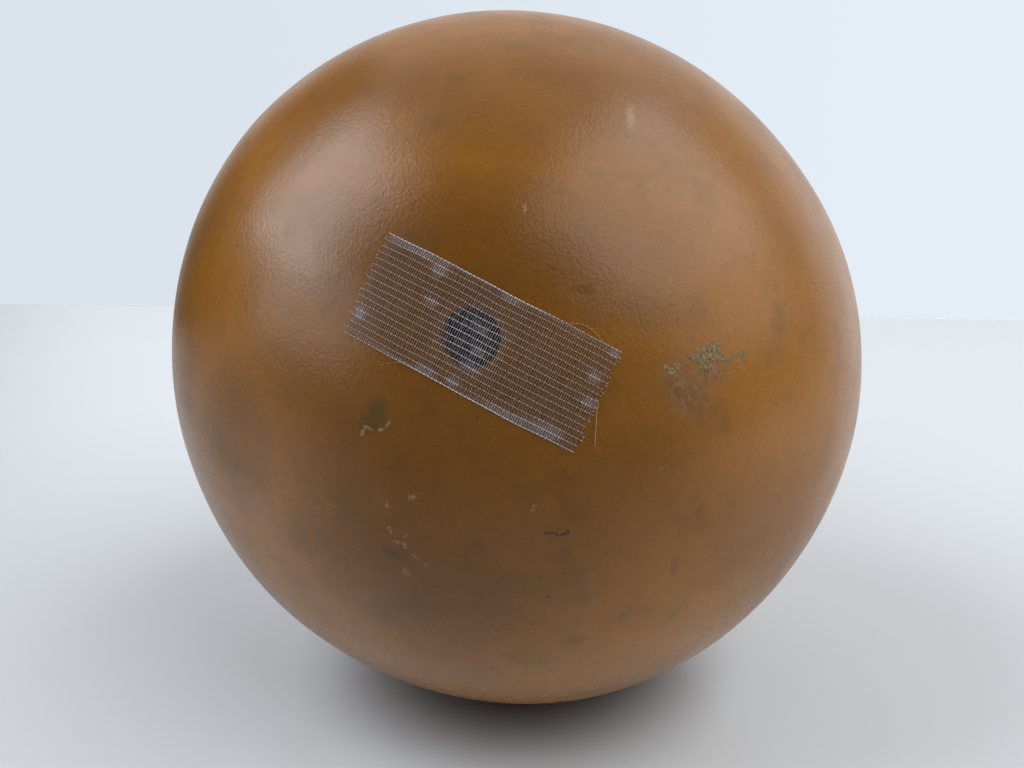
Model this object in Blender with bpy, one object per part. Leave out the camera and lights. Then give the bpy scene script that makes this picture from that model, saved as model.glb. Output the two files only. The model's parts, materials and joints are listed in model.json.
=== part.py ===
"""A dried bottle gourd that lies on its side.

The hollow shell has a drilled hole at its blossom end. A strip of woven tape covers the hole, a wad of dried
pulp clings to the wall behind it, and the dried stalk stands on the upper bulb.

Metres, +Z up. The blossom end faces -Y and the stalk +Y. The origin is on the surface that the gourd lies on,
under the middle of the gourd. Each piece is first shaped upright round the gourd's own axis (+Z from the
blossom end to the stalk, zero at the middle of the lower bulb) and then laid down with the others.
"""

import math

import bmesh
import bpy
from mathutils import Matrix, Vector

# Driving dimensions of the shell
LOWER_RADIUS = 0.1155
UPPER_RADIUS = 0.066
WAIST_RADIUS = 0.045
COLLAR_RADIUS = 0.0105
BULB_SPACING = 0.182
WAIST_HEIGHT = 0.120
COLLAR_HEIGHT = 0.263
WALL = 0.005
HOLE_RADIUS = 0.0068
REST_DEPTH = 0.0008
NECK_LEAN = 0.005

# Where the round parts of the outline end, as angles from the blossom end's side of each bulb
SHOULDER_ANGLE = math.radians(118)
CROWN_START = math.radians(66)
CROWN_END = math.radians(125)

# How far each end of a blended stretch of the outline keeps its direction
SHOULDER_PULL = 0.040
WAIST_PULL = 0.026
NECK_PULL = 0.016
TAPER_PULL = 0.030
COLLAR_PULL = 0.012
DOME_PULL = 0.025

# Lobes of the cross-section: count, share of the radius, and the angle of one crest in degrees,
# counted from +X towards the top of the lying gourd
LOWER_LOBES = ((2, 0.0131, 130.3), (3, 0.0026, 11.4), (4, 0.0016, 16.7), (5, 0.0017, 3.5))
UPPER_LOBES = ((2, 0.015, 60.0), (3, 0.006, 95.0), (5, 0.003, 20.0))

# Stalk
STALK_LENGTH = 0.031
STALK_FOOT_RADIUS = 0.0100
STALK_WAIST_RADIUS = 0.0045
STALK_TIP_RADIUS = 0.0058
STALK_BEND = 0.010
STALK_TIP_TURN = math.radians(30)
STALK_RIDGES = 5
STALK_RIDGE_SHARE = 0.12

# Tape: its middle is given from the hole's middle, to +X and to the top
TAPE_LENGTH = 0.0595
TAPE_WIDTH = 0.0250
TAPE_THICKNESS = 0.0004
TAPE_TURN = math.radians(-26)
TAPE_MIDDLE = (0.0016, -0.0006)

# Wad of dried pulp behind the hole, placed like the tape
PULP_MIDDLE = (0.0058, -0.0005)
PULP_RADII = (0.0068, 0.0110, 0.0030)
PULP_LUMPS = 0.22

GAP = 0.0003
SEGMENTS = 60


def blend(start, start_pull, end, end_pull, steps):
    """Points after start along the cubic curve that leaves it by start_pull and reaches end by end_pull."""
    first = start + start_pull
    second = end - end_pull
    points = []
    for step in range(1, steps + 1):
        t = step / steps
        u = 1 - t
        points.append(start * u**3 + first * (3 * u * u * t) + second * (3 * u * t * t) + end * t**3)
    return points


def arc(middle, radius, start, end, steps):
    """Points of (radius, height) on a circle, with angles counted from straight down."""
    points = []
    for step in range(steps + 1):
        angle = start + (end - start) * step / steps
        points.append(Vector((radius * math.sin(angle), middle - radius * math.cos(angle))))
    return points


def along(angle):
    """The direction in which an arc runs on at this angle."""
    return Vector((math.cos(angle), math.sin(angle)))


def bulbs_outline(inset, steps):
    """Outline of both bulbs and the waist, from the hole's edge to the crown, this far inside the surface."""
    lower_steps, shoulder_steps, neck_steps, upper_steps = steps
    lower = LOWER_RADIUS - inset
    upper = UPPER_RADIUS - inset
    points = arc(0, lower, math.asin(HOLE_RADIUS / lower), SHOULDER_ANGLE, lower_steps)
    waist = Vector((WAIST_RADIUS - inset, WAIST_HEIGHT))
    upwards = Vector((0, 1))
    points += blend(points[-1], along(SHOULDER_ANGLE) * SHOULDER_PULL, waist, upwards * WAIST_PULL, shoulder_steps)
    crown = arc(BULB_SPACING, upper, CROWN_START, CROWN_END, upper_steps)
    points += blend(waist, upwards * NECK_PULL, crown[0], along(CROWN_START) * NECK_PULL, neck_steps)
    return points + crown[1:]


def outer_outline():
    # These steps put a band of faces, not an edge, over each of the two spots that the gourd rests on
    points = bulbs_outline(0, (21, 7, 4, 9))
    collar = Vector((COLLAR_RADIUS, COLLAR_HEIGHT))
    flare = Vector((-0.3, 1)).normalized()
    points += blend(points[-1], along(CROWN_END) * TAPER_PULL, collar, flare * COLLAR_PULL, 6)
    return points + [Vector((0, COLLAR_HEIGHT))]


def inner_outline():
    points = bulbs_outline(WALL, (10, 4, 2, 4))
    top = Vector((0, BULB_SPACING + UPPER_RADIUS))
    return points + blend(points[-1], along(CROWN_END) * DOME_PULL, top, Vector((-DOME_PULL, 0)), 3)


def smooth(low, high, value):
    """Rises from 0 at low to 1 at high, level at both ends."""
    t = min(max((value - low) / (high - low), 0), 1)
    return t * t * (3 - 2 * t)


def lobed(lobes, angle):
    share = 1
    for count, size, crest in lobes:
        share += size * math.cos(count * (angle - math.radians(crest)))
    return share


def grown(point):
    """Gives a point of the turned form its lobes, and leans it with the neck to one side."""
    upper_share = smooth(LOWER_RADIUS / 2, WAIST_HEIGHT, point.z)
    angle = math.atan2(point.y, point.x)
    swell = lobed(LOWER_LOBES, angle) * (1 - upper_share) + lobed(UPPER_LOBES, angle) * upper_share
    lean = NECK_LEAN * smooth(LOWER_RADIUS / 2, COLLAR_HEIGHT, point.z)
    return Vector((point.x * swell + lean, point.y * swell, point.z))


def laid(point):
    """Turns an upright point to the lying gourd, with its zero still at the middle of the lower bulb.

    The upright +Y becomes the top of the lying gourd, and both bulbs touch one level surface."""
    below = math.radians(-90)
    drop = LOWER_RADIUS * lobed(LOWER_LOBES, below) - UPPER_RADIUS * lobed(UPPER_LOBES, below)
    tilt = math.asin(drop / BULB_SPACING)
    side = Vector((point.x, point.z, point.y))
    return Matrix.Rotation(-tilt, 3, "X") @ side


def by_hole(right, up, depth):
    """Upright point on the blossom end, this far from the hole's middle and this far under the surface."""
    angle = math.hypot(right, up) / LOWER_RADIUS
    bearing = math.atan2(up, right)
    radius = LOWER_RADIUS - depth
    ring = radius * math.sin(angle)
    return grown(Vector((ring * math.cos(bearing), ring * math.sin(bearing), -radius * math.cos(angle))))


def material(name, color, roughness, alpha=1.0):
    made = bpy.data.materials.new(name)
    made.use_nodes = True
    shader = made.node_tree.nodes["Principled BSDF"]
    shader.inputs["Base Color"].default_value = (*color, 1)
    shader.inputs["Roughness"].default_value = roughness
    shader.inputs["Metallic"].default_value = 0
    shader.inputs["Alpha"].default_value = alpha
    return made


def piece(name, shape, parent, finish):
    """Makes an object of the closed bmesh, laid down with its faces pointing out."""
    for vert in shape.verts:
        vert.co = laid(vert.co)
    bmesh.ops.recalc_face_normals(shape, faces=shape.faces)
    mesh = bpy.data.meshes.new(name)
    shape.to_mesh(mesh)
    shape.free()
    mesh.shade_smooth()
    mesh.set_sharp_from_angle(angle=math.radians(40))
    mesh.materials.append(finish)
    made = bpy.data.objects.new(name, mesh)
    bpy.context.scene.collection.objects.link(made)
    made.parent = parent
    return made


def skin(shape, rings, closed_ends):
    """Joins rings of points, each as long as the next, and closes the first and last ring if asked."""
    verts = [[shape.verts.new(point) for point in ring] for ring in rings]
    for low, high in zip(verts, verts[1:]):
        for here in range(len(low)):
            after = (here + 1) % len(low)
            shape.faces.new((low[here], low[after], high[after], high[here]))
    if closed_ends:
        shape.faces.new(verts[0])
        shape.faces.new(verts[-1])


def gourd_shell(parent):
    """Turns the outline of the wall round the axis, outside up and inside down, then gives it its lobes."""
    shape = bmesh.new()
    outline = outer_outline() + inner_outline()[::-1]
    verts = [shape.verts.new((point.x, 0, point.y)) for point in outline]
    edges = []
    for index, vert in enumerate(verts):
        edges.append(shape.edges.new((vert, verts[(index + 1) % len(verts)])))
    # The edge along the axis between the two closed tops isn't part of the wall
    on_axis = [edge for edge in edges if all(vert.co.x < 1e-9 for vert in edge.verts)]
    for edge in on_axis:
        shape.edges.remove(edge)
    half_step = math.pi / SEGMENTS
    bmesh.ops.rotate(shape, verts=shape.verts, cent=(0, 0, 0), matrix=Matrix.Rotation(half_step, 3, "Z"))
    bmesh.ops.spin(
        shape,
        geom=shape.verts[:] + shape.edges[:],
        cent=(0, 0, 0),
        axis=(0, 0, 1),
        angle=2 * math.pi,
        steps=SEGMENTS,
        use_merge=True,
    )
    bmesh.ops.remove_doubles(shape, verts=shape.verts, dist=1e-6)
    for vert in shape.verts:
        vert.co = grown(vert.co)
    return piece("gourd_shell", shape, parent, material("dried_rind", (0.30, 0.115, 0.022), 0.42))


def stem(parent):
    """A stalk with rounded ridges that bends to one side and widens at its foot and at its cut tip."""
    shape = bmesh.new()
    rings = []
    steps = 8
    sides = 20
    for step in range(steps + 1):
        t = step / steps
        foot = STALK_FOOT_RADIUS - STALK_WAIST_RADIUS
        tip = STALK_TIP_RADIUS - STALK_WAIST_RADIUS
        radius = STALK_WAIST_RADIUS + foot * (1 - t) ** 4 + tip * smooth(0.55, 1, t)
        middle = Vector((STALK_BEND * t**2, 0, COLLAR_HEIGHT + GAP + STALK_LENGTH * t))
        middle += Vector((NECK_LEAN, 0, 0))
        turn = Matrix.Rotation(STALK_TIP_TURN * t, 3, "Y")
        ring = []
        for side in range(sides):
            angle = 2 * math.pi * side / sides
            ridge = 1 + STALK_RIDGE_SHARE * smooth(0, 0.5, t) * math.cos(STALK_RIDGES * angle)
            spoke = Vector((radius * ridge * math.cos(angle), radius * ridge * math.sin(angle), 0))
            ring.append(middle + turn @ spoke)
        rings.append(ring)
    skin(shape, rings, closed_ends=True)
    return piece("stem", shape, parent, material("dried_stalk", (0.16, 0.10, 0.05), 0.8))


def tape(parent):
    """A thin strip that follows the shell, from a grid over its length and width."""
    shape = bmesh.new()
    columns = 14
    rows = 6
    sheets = []
    for depth in (-GAP, -GAP - TAPE_THICKNESS):
        sheet = []
        for column in range(columns + 1):
            length = TAPE_LENGTH * (column / columns - 0.5)
            line = []
            for row in range(rows + 1):
                width = TAPE_WIDTH * (row / rows - 0.5)
                right = TAPE_MIDDLE[0] + length * math.cos(TAPE_TURN) - width * math.sin(TAPE_TURN)
                up = TAPE_MIDDLE[1] + length * math.sin(TAPE_TURN) + width * math.cos(TAPE_TURN)
                line.append(by_hole(right, up, depth))
            sheet.append(line)
        sheets.append(sheet)
    # Each cross-section of the strip is one ring: along its underside and back along its upper side
    rings = [under + over[::-1] for under, over in zip(*sheets)]
    skin(shape, rings, closed_ends=False)
    for ring in (rings[0], rings[-1]):
        ends = [min(shape.verts, key=lambda vert: (vert.co - point).length) for point in ring]
        for row in range(rows):
            shape.faces.new((ends[row], ends[row + 1], ends[-row - 2], ends[-row - 1]))
    return piece("tape", shape, parent, material("woven_tape", (0.62, 0.56, 0.55), 0.4, alpha=0.6))


def dried_pulp(parent):
    """A flattened, lumpy wad that clings to the inside of the wall beside the hole."""
    shape = bmesh.new()
    bmesh.ops.create_icosphere(shape, subdivisions=3, radius=1)
    depth = WALL + GAP + PULP_RADII[2] * (1 + PULP_LUMPS)
    for vert in shape.verts:
        x, y, z = vert.co
        lump = 1 + PULP_LUMPS * math.sin(3.1 * x + 1.3) * math.cos(4.3 * y) * math.sin(2.7 * z + 0.6)
        right = PULP_MIDDLE[0] + PULP_RADII[0] * x * lump
        up = PULP_MIDDLE[1] + PULP_RADII[1] * y * lump
        vert.co = by_hole(right, up, depth - PULP_RADII[2] * z * lump)
    return piece("dried_pulp", shape, parent, material("dried_pulp", (0.52, 0.47, 0.38), 0.9))


def set_down(parent, pieces, shell):
    """Moves the parent so that the whole gourd is over the origin, and rests the shell on two flat spots."""
    lowest = min(vert.co.z for vert in shell.data.vertices)
    corners = [vert.co for made in pieces for vert in made.data.vertices]
    middle = [(min(co[axis] for co in corners) + max(co[axis] for co in corners)) / 2 for axis in (0, 1)]
    floor = lowest + REST_DEPTH
    for vert in shell.data.vertices:
        vert.co.z = max(vert.co.z, floor)
    parent.location = (-middle[0], -middle[1], -floor)


def main():
    for old in list(bpy.data.objects):
        bpy.data.objects.remove(old)
    at_rest = bpy.data.objects.new("gourd_at_rest", None)
    bpy.context.scene.collection.objects.link(at_rest)
    shell = gourd_shell(at_rest)
    pieces = [shell, stem(at_rest), tape(at_rest), dried_pulp(at_rest)]
    set_down(at_rest, pieces, shell)


main()
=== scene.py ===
"""Looks of the dried bottle gourd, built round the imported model.

The skin repeats the model's form on a fine mesh and adds the relief of the real rind. The tape is a net
of yarns on a clear film, the pulp a tangle of fibres, and the stalk has its fine ridges. Places on the
blossom end are given along the rind from the hole's middle, to the right (+X) and up: in metres, except
for the lists of marks, which are in millimetres.
"""

import json
import math

import bpy
import numpy as np
from mathutils import Matrix, Vector, noise

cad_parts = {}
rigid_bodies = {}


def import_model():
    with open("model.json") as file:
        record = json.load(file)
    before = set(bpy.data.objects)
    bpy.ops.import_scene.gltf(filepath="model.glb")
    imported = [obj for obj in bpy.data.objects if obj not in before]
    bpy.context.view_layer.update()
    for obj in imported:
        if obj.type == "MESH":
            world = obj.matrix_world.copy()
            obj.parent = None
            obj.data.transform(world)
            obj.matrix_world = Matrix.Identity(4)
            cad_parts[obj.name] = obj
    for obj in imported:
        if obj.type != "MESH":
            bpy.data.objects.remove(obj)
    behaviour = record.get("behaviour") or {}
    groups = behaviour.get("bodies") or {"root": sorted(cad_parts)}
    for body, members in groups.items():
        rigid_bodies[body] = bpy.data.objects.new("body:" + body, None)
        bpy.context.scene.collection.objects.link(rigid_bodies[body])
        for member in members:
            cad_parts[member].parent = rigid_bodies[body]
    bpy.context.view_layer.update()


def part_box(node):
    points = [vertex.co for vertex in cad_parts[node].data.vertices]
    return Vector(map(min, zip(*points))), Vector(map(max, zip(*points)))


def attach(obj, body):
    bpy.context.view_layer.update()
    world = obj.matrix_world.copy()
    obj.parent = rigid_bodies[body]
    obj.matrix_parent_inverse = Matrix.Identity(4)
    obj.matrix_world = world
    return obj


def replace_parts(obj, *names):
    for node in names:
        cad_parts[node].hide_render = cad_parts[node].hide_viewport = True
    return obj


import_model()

# The gourd's form, as in the model: metres, upright round its own axis, zero at the lower bulb's middle
LOWER_RADIUS = 0.1155
UPPER_RADIUS = 0.066
WAIST_RADIUS = 0.045
COLLAR_RADIUS = 0.0105
BULB_SPACING = 0.182
WAIST_HEIGHT = 0.120
COLLAR_HEIGHT = 0.263
WALL = 0.005
HOLE_RADIUS = 0.0068
NECK_LEAN = 0.005
SHOULDER_ANGLE = math.radians(118)
CROWN_START = math.radians(66)
CROWN_END = math.radians(125)
SHOULDER_PULL = 0.040
WAIST_PULL = 0.026
NECK_PULL = 0.016
TAPER_PULL = 0.030
COLLAR_PULL = 0.012
DOME_PULL = 0.025
LOWER_LOBES = ((2, 0.0131, 130.3), (3, 0.0026, 11.4), (4, 0.0016, 16.7), (5, 0.0017, 3.5))
UPPER_LOBES = ((2, 0.015, 60.0), (3, 0.006, 95.0), (5, 0.003, 20.0))
STALK_LENGTH = 0.031
STALK_FOOT_RADIUS = 0.0100
STALK_WAIST_RADIUS = 0.0045
STALK_TIP_RADIUS = 0.0058
STALK_BEND = 0.010
STALK_TIP_TURN = math.radians(30)
STALK_RIDGES = 5
STALK_RIDGE_SHARE = 0.12

# Rind colours
RIND_BROWN = (0.218, 0.084, 0.0085)
RIND_AMBER = (0.292, 0.115, 0.0110)
RIND_OLIVE = (0.144, 0.069, 0.0130)
# How far the rind's colour is darkened under the painted shade
PAINTED_SHADE_TONE = (0.56, 0.55, 0.50)
RUBBED = (0.36, 0.25, 0.155)
GREY_TONES = ((0.112, 0.063, 0.027), (0.200, 0.112, 0.062))
GREEN = (0.047, 0.035, 0.011)
DARK = (0.064, 0.027, 0.007)
SPECK = (0.040, 0.019, 0.008)
CRUST_TONES = ((0.095, 0.063, 0.024), (0.300, 0.210, 0.100))
FLAKE_TONES = ((0.115, 0.062, 0.020), (0.250, 0.165, 0.068))
CRACK_TONES = ((0.026, 0.019, 0.008), (0.075, 0.050, 0.020))

# Fineness of the skin's mesh
SKIN_SIDES = 320
FRONT_STEP = 0.0012
BACK_STEP = 0.0032
FRONT_REACH = 0.160
INNER_RINGS = 26

# Camera, solved from the gourd's outline and its mirror image
CAMERA_DISTANCE = 2.6007 * LOWER_RADIUS
CAMERA_AZIMUTH = math.radians(5.1)
CAMERA_ELEVATION = math.radians(13.5)
IMAGE_WIDTH = 1024
IMAGE_HEIGHT = 768
FOCAL_PIXELS = 829
SENSOR_WIDTH = 36.0
BULB_IN_IMAGE = (514.9, 360.1)


def arc(middle, radius, start, end, steps=120):
    """Points of (radius, height) on a circle, with angles counted from straight down."""
    angles = np.linspace(start, end, steps)
    return np.column_stack((radius * np.sin(angles), middle - radius * np.cos(angles)))


def along(angle):
    """The direction in which an arc runs on at this angle."""
    return np.array((math.cos(angle), math.sin(angle)))


def blend(start, start_pull, end, end_pull, steps=60):
    """Points after start along the cubic curve that leaves it by start_pull and ends by end_pull."""
    t = np.linspace(0, 1, steps + 1)[1:, None]
    u = 1 - t
    first = start + start_pull
    second = end - end_pull
    return start * u**3 + first * (3 * u * u * t) + second * (3 * u * t * t) + end * t**3


def bulbs_outline(inset):
    """Outline of both bulbs and the waist, from the hole to the crown, this far inside the surface."""
    lower = LOWER_RADIUS - inset
    bulb = arc(0, lower, math.asin(HOLE_RADIUS / lower), SHOULDER_ANGLE, 400)
    waist = np.array((WAIST_RADIUS - inset, WAIST_HEIGHT))
    up = np.array((0, 1))
    shoulder = blend(bulb[-1], along(SHOULDER_ANGLE) * SHOULDER_PULL, waist, up * WAIST_PULL)
    crown = arc(BULB_SPACING, UPPER_RADIUS - inset, CROWN_START, CROWN_END)
    neck = blend(waist, up * NECK_PULL, crown[0], along(CROWN_START) * NECK_PULL)
    return np.vstack((bulb, shoulder, neck, crown[1:]))


def outer_outline():
    bulbs = bulbs_outline(0)
    collar = np.array((COLLAR_RADIUS, COLLAR_HEIGHT))
    flare = np.array((-0.3, 1)) / math.hypot(0.3, 1)
    taper = blend(bulbs[-1], along(CROWN_END) * TAPER_PULL, collar, flare * COLLAR_PULL)
    return np.vstack((bulbs, taper))


def inner_outline():
    bulbs = bulbs_outline(WALL)
    top = np.array((0, BULB_SPACING + UPPER_RADIUS))
    inward = np.array((-DOME_PULL, 0))
    return np.vstack((bulbs, blend(bulbs[-1], along(CROWN_END) * DOME_PULL, top, inward)))


def lengths(outline):
    """How far along the outline each of its points is."""
    steps = np.linalg.norm(np.diff(outline, axis=0), axis=1)
    return np.concatenate(((0,), np.cumsum(steps)))


def at_lengths(outline, stations):
    run = lengths(outline)
    return np.column_stack([np.interp(stations, run, outline[:, axis]) for axis in (0, 1)])


def smooth(low, high, value):
    """Rises from 0 at low to 1 at high, level at both ends."""
    t = np.clip((value - low) / (high - low), 0, 1)
    return t * t * (3 - 2 * t)


def lobed(lobes, angle):
    return 1 + sum(size * np.cos(count * (angle - math.radians(crest))) for count, size, crest in lobes)


def grown(points):
    """Gives points of the turned form their lobes, and leans them with the neck to one side."""
    upper_share = smooth(LOWER_RADIUS / 2, WAIST_HEIGHT, points[:, 2])
    angle = np.arctan2(points[:, 1], points[:, 0])
    swell = lobed(LOWER_LOBES, angle) * (1 - upper_share) + lobed(UPPER_LOBES, angle) * upper_share
    lean = NECK_LEAN * smooth(LOWER_RADIUS / 2, COLLAR_HEIGHT, points[:, 2])
    return np.column_stack((points[:, 0] * swell + lean, points[:, 1] * swell, points[:, 2]))


def laid(points):
    """Turns upright points to the lying gourd, with zero still at the middle of the lower bulb."""
    below = math.radians(-90)
    drop = LOWER_RADIUS * lobed(LOWER_LOBES, below) - UPPER_RADIUS * lobed(UPPER_LOBES, below)
    tilt = math.asin(drop / BULB_SPACING)
    side = points[:, (0, 2, 1)]
    return side @ np.array(Matrix.Rotation(-tilt, 3, "X")).T


def turned(outline, sides):
    """Rings of upright points round the axis, for each (radius, height) of the outline."""
    angles = 2 * math.pi * np.arange(sides) / sides
    r = outline[:, 0][:, None]
    h = np.repeat(outline[:, 1], sides)
    return np.column_stack(((r * np.cos(angles)).ravel(), (r * np.sin(angles)).ravel(), h))


def bulb_middle():
    """Where the lower bulb's middle is in the frame, from the box of the model's shell."""
    outline = outer_outline()
    plain = laid(grown(turned(outline, 180)))
    low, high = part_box("gourd_shell")
    middle = (np.array(low) + np.array(high)) / 2 - (plain.min(0) + plain.max(0)) / 2
    middle[2] = high.z - plain[:, 2].max()
    return middle


MIDDLE = bulb_middle()


def add_mesh(name, points, faces, materials):
    mesh = bpy.data.meshes.new(name)
    mesh.from_pydata(points.tolist(), [], faces)
    mesh.update()
    mesh.shade_smooth()
    for material in materials:
        mesh.materials.append(material)
    made = bpy.data.objects.new(name, mesh)
    bpy.context.scene.collection.objects.link(made)
    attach(made, "root")
    return made


# Node helpers


def new_material(name):
    made = bpy.data.materials.new(name)
    made.use_nodes = True
    return made, made.node_tree, made.node_tree.nodes["Principled BSDF"]


def add_node(tree, kind, settings=None, **inputs):
    """Adds a node; an input is a value or another node's output."""
    made = tree.nodes.new(kind)
    for key, value in (settings or {}).items():
        setattr(made, key, value)
    for key, value in inputs.items():
        name = key.replace("_", " ").title() if not key.startswith("n") else int(key[1:])
        socket = made.inputs[name]
        if isinstance(value, bpy.types.NodeSocket):
            tree.links.new(value, socket)
        else:
            socket.default_value = value
    return made


def math_node(tree, operation, *inputs):
    numbered = {f"n{index}": value for index, value in enumerate(inputs)}
    return add_node(tree, "ShaderNodeMath", {"operation": operation}, **numbered).outputs[0]


def mix_color(tree, share, first, second, way="MIX"):
    made = tree.nodes.new("ShaderNodeMix")
    made.data_type = "RGBA"
    made.blend_type = way
    for socket, value in ((made.inputs[0], share), (made.inputs[6], first), (made.inputs[7], second)):
        if isinstance(value, bpy.types.NodeSocket):
            tree.links.new(value, socket)
        elif isinstance(value, tuple):
            socket.default_value = (*value, 1)
        else:
            socket.default_value = value
    return made.outputs[2]


def map_range(tree, value, low, high, to_low=0.0, to_high=1.0, way="SMOOTHSTEP"):
    made = tree.nodes.new("ShaderNodeMapRange")
    made.interpolation_type = way
    tree.links.new(value, made.inputs[0])
    for socket, number in zip(made.inputs[1:5], (low, high, to_low, to_high)):
        socket.default_value = number
    return made.outputs[0]


def noise_node(tree, position, scale, detail=2.0, roughness=0.5, distortion=0.0):
    made = add_node(tree, "ShaderNodeTexNoise", None, scale=scale, detail=detail, roughness=roughness)
    made.inputs["Distortion"].default_value = distortion
    tree.links.new(position, made.inputs["Vector"])
    return made.outputs["Fac"]


def object_position(tree):
    return tree.nodes.new("ShaderNodeTexCoord").outputs["Object"]


def axes(tree, vector):
    """The X, Y and Z of a vector, by name."""
    return add_node(tree, "ShaderNodeSeparateXYZ", None, n0=vector).outputs


# Marks on the rind. Each: right, up, half length and half width in mm along the rind, turn in degrees
CRUSTS = (
    (57.3, -0.9, 1.9, 1.3, 20),
    (55.2, -2.3, 3.0, 1.4, 15),
    (58.9, -2.6, 1.7, 0.9, -20),
    (55.6, -4.8, 1.2, 1.6, 10),
    (61.3, -3.2, 1.0, 0.5, -10),
)
SIDE_CRUSTS = (
    (46.4, -6.4, 1.6, 0.7, -25),
    (48.0, -5.7, 0.6, 0.9, 10),
    (47.4, -7.4, 0.7, 0.5, 40),
)
FLAKES = (
    (63.2, -2.7, 0.8, 0.6, 20),
    (65.3, -1.7, 1.3, 0.6, 15),
    (67.0, -2.3, 0.6, 0.9, 0),
    (52.9, -6.2, 0.7, 0.3, 50),
    (50.4, -9.4, 0.9, 0.25, -40),
    (52.5, -10.4, 0.8, 0.3, 20),
    (51.3, -12.6, 1.0, 0.25, -15),
    (-26.1, -22.7, 0.9, 0.45, 50),
    (-24.7, -21.6, 1.0, 0.3, -20),
    (-20.9, -21.8, 0.9, 0.3, 15),
    (-19.5, -20.5, 0.8, 0.25, 60),
    (-14.3, -38.0, 1.0, 0.5, 10),
    (-20.7, -40.6, 0.4, 0.7, 0),
    (-20.6, -47.5, 0.6, 0.6, 0),
    (-16.8, -48.9, 0.7, 0.3, 40),
    (-19.2, -50.7, 1.6, 0.32, -4),
    (-17.0, -51.4, 0.4, 0.8, 10),
    (-14.6, -54.4, 0.7, 0.3, -20),
    (-12.0, -56.4, 0.7, 0.3, 30),
    (-17.3, -59.6, 1.1, 0.9, 20),
    (14.8, -38.8, 0.4, 0.7, -30),
    (-1.9, -87.3, 1.1, 0.35, 20),
    (8.6, -88.7, 1.5, 0.35, 10),
    (9.1, -90.1, 1.3, 0.3, 12),
    (12.0, -92.3, 1.5, 0.4, -35),
    (13.6, -93.2, 0.35, 1.3, 10),
    (15.2, -92.2, 1.2, 0.35, 15),
    (17.0, -94.2, 0.4, 1.1, -20),
    (19.2, -92.0, 0.9, 0.3, 60),
    (3.0, -96.2, 0.4, 0.7, 20),
    (29.2, -81.2, 1.5, 0.28, 40),
    (26.0, -85.4, 0.9, 0.25, 10),
    (82.0, 12.9, 0.35, 0.5, 0),
    (44.9, -30.3, 0.3, 0.5, -20),
    (11.3, 30.9, 0.4, 0.9, 10),
    (-24.7, 56.0, 0.45, 0.4, 0),
    (-27.0, 67.5, 0.9, 0.2, 50),
)
CRACKS = (
    (18.7, -45.3, 1.2, 0.24, 4),
    (20.4, -45.6, 1.0, 0.22, -14),
    (22.0, -45.7, 1.2, 0.30, 10),
    (22.9, -45.0, 0.4, 0.34, 20),
)
GREY_STAINS = (
    (50.8, -11.0, 7.0, 4.6, -35),
    (57.0, -6.5, 5.0, 2.6, 10),
)
GREEN_STAINS = (
    (-22.2, -18.0, 2.7, 3.2, -20),
    (-24.2, -20.6, 2.4, 2.2, 30),
    (-20.7, -54.4, 2.8, 1.1, -20),
)
DARK_STAINS = (
    (52.1, -57.7, 1.0, 2.4, 10),
    (57.0, -42.2, 1.2, 2.0, 0),
    (26.2, -81.3, 2.6, 1.7, 15),
    (1.6, -49.6, 1.7, 1.1, 0),
    (25.0, 10.9, 1.6, 1.0, 0),
    (39.1, -72.8, 0.9, 0.9, 0),
)
# Painted shade, not the rind's own colour: broad darker parts of the blossom end, and a weaker one high
# on it
PAINTED_SHADES = (
    (-8.0, -38.0, 54.0, 46.0, 0),
    (-72.0, -30.0, 24.0, 22.0, 0),
    (-4.0, 16.0, 42.0, 24.0, 0),
    (-116.0, -14.0, 34.0, 80.0, 0),
)
PAINTED_CROWN_SHADE = ((0.0, 66.0, 48.0, 24.0, 0),)
# A pale rubbed streak high on the blossom end
PALE_STREAKS = ((38.3, 61.7, 1.0, 4.2, -8),)
# Each pore: right, up, radius in mm
PORES = (
    (16.8, -58.2, 0.36),
    (18.8, -64.4, 0.5),
    (47.8, 5.8, 0.26),
    (51.9, 1.3, 0.24),
    (46.3, 11.3, 0.2),
    (78.8, -14.4, 0.28),
    (18.3, -51.3, 0.3),
    (-23.1, -53.7, 0.34),
    (-21.0, -54.6, 0.28),
    (-19.2, -55.3, 0.3),
    (1.7, -17.9, 0.32),
    (38.6, 68.8, 0.32),
    (40.5, 67.7, 0.3),
    (15.2, -73.7, 0.28),
    (3.3, -72.4, 0.26),
    (18.1, 16.4, 0.28),
    (32.5, 9.2, 0.24),
    (55.3, 58.7, 0.24),
    (67.8, 32.3, 0.28),
    (71.8, 34.2, 0.22),
    (-40.7, 35.1, 0.26),
    (-33.7, 49.2, 0.24),
)


def mark_share(right, up, marks, wobble, soft):
    """How much each place lies inside any of these marks: 1 inside, 0 outside, with a ragged edge."""
    share = np.zeros(len(right))
    for mark_right, mark_up, half_length, half_width, turn in marks:
        x = right * 1000 - mark_right
        y = up * 1000 - mark_up
        c, s = math.cos(math.radians(turn)), math.sin(math.radians(turn))
        reach = np.hypot((x * c + y * s) / half_length, (y * c - x * s) / half_width)
        share = np.maximum(share, 1 - smooth(1 - soft, 1 + soft, reach + wobble))
    return share


def noise_at(points, size, seed):
    """Smooth noise from -1 to 1 at each point, with lumps of about this size in metres."""
    shift = Vector((seed * 17.3, seed * 5.1, seed * 9.7))
    return np.array([noise.noise(Vector(point) / size + shift) for point in points.tolist()])


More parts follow.
